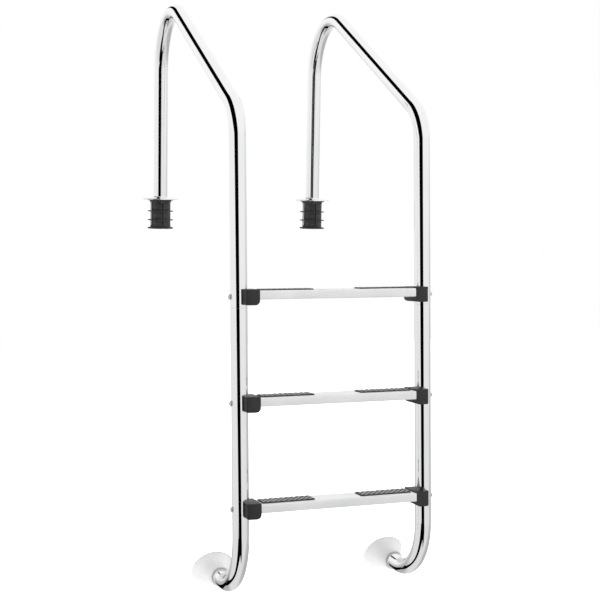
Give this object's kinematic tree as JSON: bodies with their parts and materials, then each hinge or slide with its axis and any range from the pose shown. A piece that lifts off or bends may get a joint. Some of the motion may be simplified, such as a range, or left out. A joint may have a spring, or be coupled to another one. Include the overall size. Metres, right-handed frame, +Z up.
{
  "type": "pool ladder",
  "caption": "In-ground pool ladder: bent tube handrails, folded steps with grip pads, expanding deck anchors and flared wall bumpers.",
  "frame": {"origin": "midway between the axes of the two deck legs, at the height of the deck's surface", "axes": "+X to the ladder's right as seen from the pool, +Y away from the pool over the deck, +Z up"},
  "size_m": [0.616, 0.9369, 1.631],
  "materials": {
    "polished_steel": "polished stainless steel",
    "satin_steel": "satin stainless steel",
    "plain_steel": "mill finish stainless steel",
    "fastener_steel": "bright stainless steel",
    "bracket_plastic": "black moulded plastic",
    "grip_pad": "dark grey ribbed grip",
    "anchor_plastic": "dark grey moulded plastic",
    "bumper_rubber": "white, smooth"
  },
  "bodies": {
    "ladder": {"upper_rail_left": "polished_steel", "lower_rail_left": "polished_steel", "joint_sleeve_left": "plain_steel", "anchor_collar_left": "anchor_plastic", "leg_plug_left": "anchor_plastic", "bumper_left": "bumper_rubber", "pad_top_left": "grip_pad", "bracket_top_left": "bracket_plastic", "pad_middle_left": "grip_pad", "bracket_middle_left": "bracket_plastic", "pad_bottom_left": "grip_pad", "bracket_bottom_left": "bracket_plastic", "upper_rail_right": "polished_steel", "lower_rail_right": "polished_steel", "joint_sleeve_right": "plain_steel", "anchor_collar_right": "anchor_plastic", "leg_plug_right": "anchor_plastic", "bumper_right": "bumper_rubber", "pad_top_right": "grip_pad", "bracket_top_right": "bracket_plastic", "pad_middle_right": "grip_pad", "bracket_middle_right": "bracket_plastic", "pad_bottom_right": "grip_pad", "bracket_bottom_right": "bracket_plastic", "tread_top": "satin_steel", "tread_middle": "satin_steel", "tread_bottom": "satin_steel", "step_bolts": "fastener_steel", "saddle_washers": "fastener_steel", "step_nuts": "fastener_steel"},
    "escutcheon_left": {"escutcheon_left": "polished_steel"},
    "anchor_wedge_left": {"anchor_wedge_left": "anchor_plastic"},
    "anchor_screw_left_1": {"anchor_screw_left_1": "fastener_steel"},
    "anchor_screw_left_2": {"anchor_screw_left_2": "fastener_steel"},
    "anchor_segment_left_1": {"anchor_segment_left_1": "anchor_plastic"},
    "anchor_segment_left_2": {"anchor_segment_left_2": "anchor_plastic"},
    "anchor_segment_left_3": {"anchor_segment_left_3": "anchor_plastic"},
    "anchor_segment_left_4": {"anchor_segment_left_4": "anchor_plastic"},
    "escutcheon_right": {"escutcheon_right": "polished_steel"},
    "anchor_wedge_right": {"anchor_wedge_right": "anchor_plastic"},
    "anchor_screw_right_1": {"anchor_screw_right_1": "fastener_steel"},
    "anchor_screw_right_2": {"anchor_screw_right_2": "fastener_steel"},
    "anchor_segment_right_1": {"anchor_segment_right_1": "anchor_plastic"},
    "anchor_segment_right_2": {"anchor_segment_right_2": "anchor_plastic"},
    "anchor_segment_right_3": {"anchor_segment_right_3": "anchor_plastic"},
    "anchor_segment_right_4": {"anchor_segment_right_4": "anchor_plastic"}
  },
  "joints": [
    {"name": "escutcheon_left_slide", "type": "slide", "parent": "ladder", "child": "escutcheon_left", "axis": [0, -0.0698, 0.9976], "range_m": [0, 0.36]},
    {"name": "anchor_wedge_left_lift", "type": "slide", "parent": "ladder", "child": "anchor_wedge_left", "axis": [0, -0.0698, 0.9976], "range_m": [0, 0.006]},
    {"name": "anchor_screw_left_1_turn", "type": "hinge", "parent": "ladder", "child": "anchor_screw_left_1", "pos_m": [-0.223, 0.00021, -0.00299], "axis": [0, -0.0698, 0.9976], "range_deg": [-2700, 0]},
    {"name": "anchor_screw_left_2_turn", "type": "hinge", "parent": "ladder", "child": "anchor_screw_left_2", "pos_m": [-0.277, 0.00021, -0.00299], "axis": [0, -0.0698, 0.9976], "range_deg": [-2700, 0]},
    {"name": "anchor_segment_left_1_spread", "type": "slide", "parent": "ladder", "child": "anchor_segment_left_1", "axis": [0.7071, 0.7054, 0.0493], "range_m": [0, 0.00218]},
    {"name": "anchor_segment_left_2_spread", "type": "slide", "parent": "ladder", "child": "anchor_segment_left_2", "axis": [-0.7071, 0.7054, 0.0493], "range_m": [0, 0.00218]},
    {"name": "anchor_segment_left_3_spread", "type": "slide", "parent": "ladder", "child": "anchor_segment_left_3", "axis": [-0.7071, -0.7054, -0.0493], "range_m": [0, 0.00218]},
    {"name": "anchor_segment_left_4_spread", "type": "slide", "parent": "ladder", "child": "anchor_segment_left_4", "axis": [0.7071, -0.7054, -0.0493], "range_m": [0, 0.00218]},
    {"name": "escutcheon_right_slide", "type": "slide", "parent": "ladder", "child": "escutcheon_right", "axis": [0, -0.0698, 0.9976], "range_m": [0, 0.36]},
    {"name": "anchor_wedge_right_lift", "type": "slide", "parent": "ladder", "child": "anchor_wedge_right", "axis": [0, -0.0698, 0.9976], "range_m": [0, 0.006]},
    {"name": "anchor_screw_right_1_turn", "type": "hinge", "parent": "ladder", "child": "anchor_screw_right_1", "pos_m": [0.277, 0.00021, -0.00299], "axis": [0, -0.0698, 0.9976], "range_deg": [-2700, 0]},
    {"name": "anchor_screw_right_2_turn", "type": "hinge", "parent": "ladder", "child": "anchor_screw_right_2", "pos_m": [0.223, 0.00021, -0.00299], "axis": [0, -0.0698, 0.9976], "range_deg": [-2700, 0]},
    {"name": "anchor_segment_right_1_spread", "type": "slide", "parent": "ladder", "child": "anchor_segment_right_1", "axis": [0.7071, 0.7054, 0.0493], "range_m": [0, 0.00218]},
    {"name": "anchor_segment_right_2_spread", "type": "slide", "parent": "ladder", "child": "anchor_segment_right_2", "axis": [-0.7071, 0.7054, 0.0493], "range_m": [0, 0.00218]},
    {"name": "anchor_segment_right_3_spread", "type": "slide", "parent": "ladder", "child": "anchor_segment_right_3", "axis": [-0.7071, -0.7054, -0.0493], "range_m": [0, 0.00218]},
    {"name": "anchor_segment_right_4_spread", "type": "slide", "parent": "ladder", "child": "anchor_segment_right_4", "axis": [0.7071, -0.7054, -0.0493], "range_m": [0, 0.00218]}
  ],
  "couplings": [
    {"joint": "anchor_screw_left_1_turn", "follows": "anchor_wedge_left_lift", "rad_per_m": -7854},
    {"joint": "anchor_screw_left_2_turn", "follows": "anchor_wedge_left_lift", "rad_per_m": -7854},
    {"joint": "anchor_segment_left_1_spread", "follows": "anchor_wedge_left_lift", "ratio": 0.3613},
    {"joint": "anchor_segment_left_2_spread", "follows": "anchor_wedge_left_lift", "ratio": 0.3613},
    {"joint": "anchor_segment_left_3_spread", "follows": "anchor_wedge_left_lift", "ratio": 0.3613},
    {"joint": "anchor_segment_left_4_spread", "follows": "anchor_wedge_left_lift", "ratio": 0.3613},
    {"joint": "anchor_screw_right_1_turn", "follows": "anchor_wedge_right_lift", "rad_per_m": -7854},
    {"joint": "anchor_screw_right_2_turn", "follows": "anchor_wedge_right_lift", "rad_per_m": -7854},
    {"joint": "anchor_segment_right_1_spread", "follows": "anchor_wedge_right_lift", "ratio": 0.3613},
    {"joint": "anchor_segment_right_2_spread", "follows": "anchor_wedge_right_lift", "ratio": 0.3613},
    {"joint": "anchor_segment_right_3_spread", "follows": "anchor_wedge_right_lift", "ratio": 0.3613},
    {"joint": "anchor_segment_right_4_spread", "follows": "anchor_wedge_right_lift", "ratio": 0.3613}
  ]
}
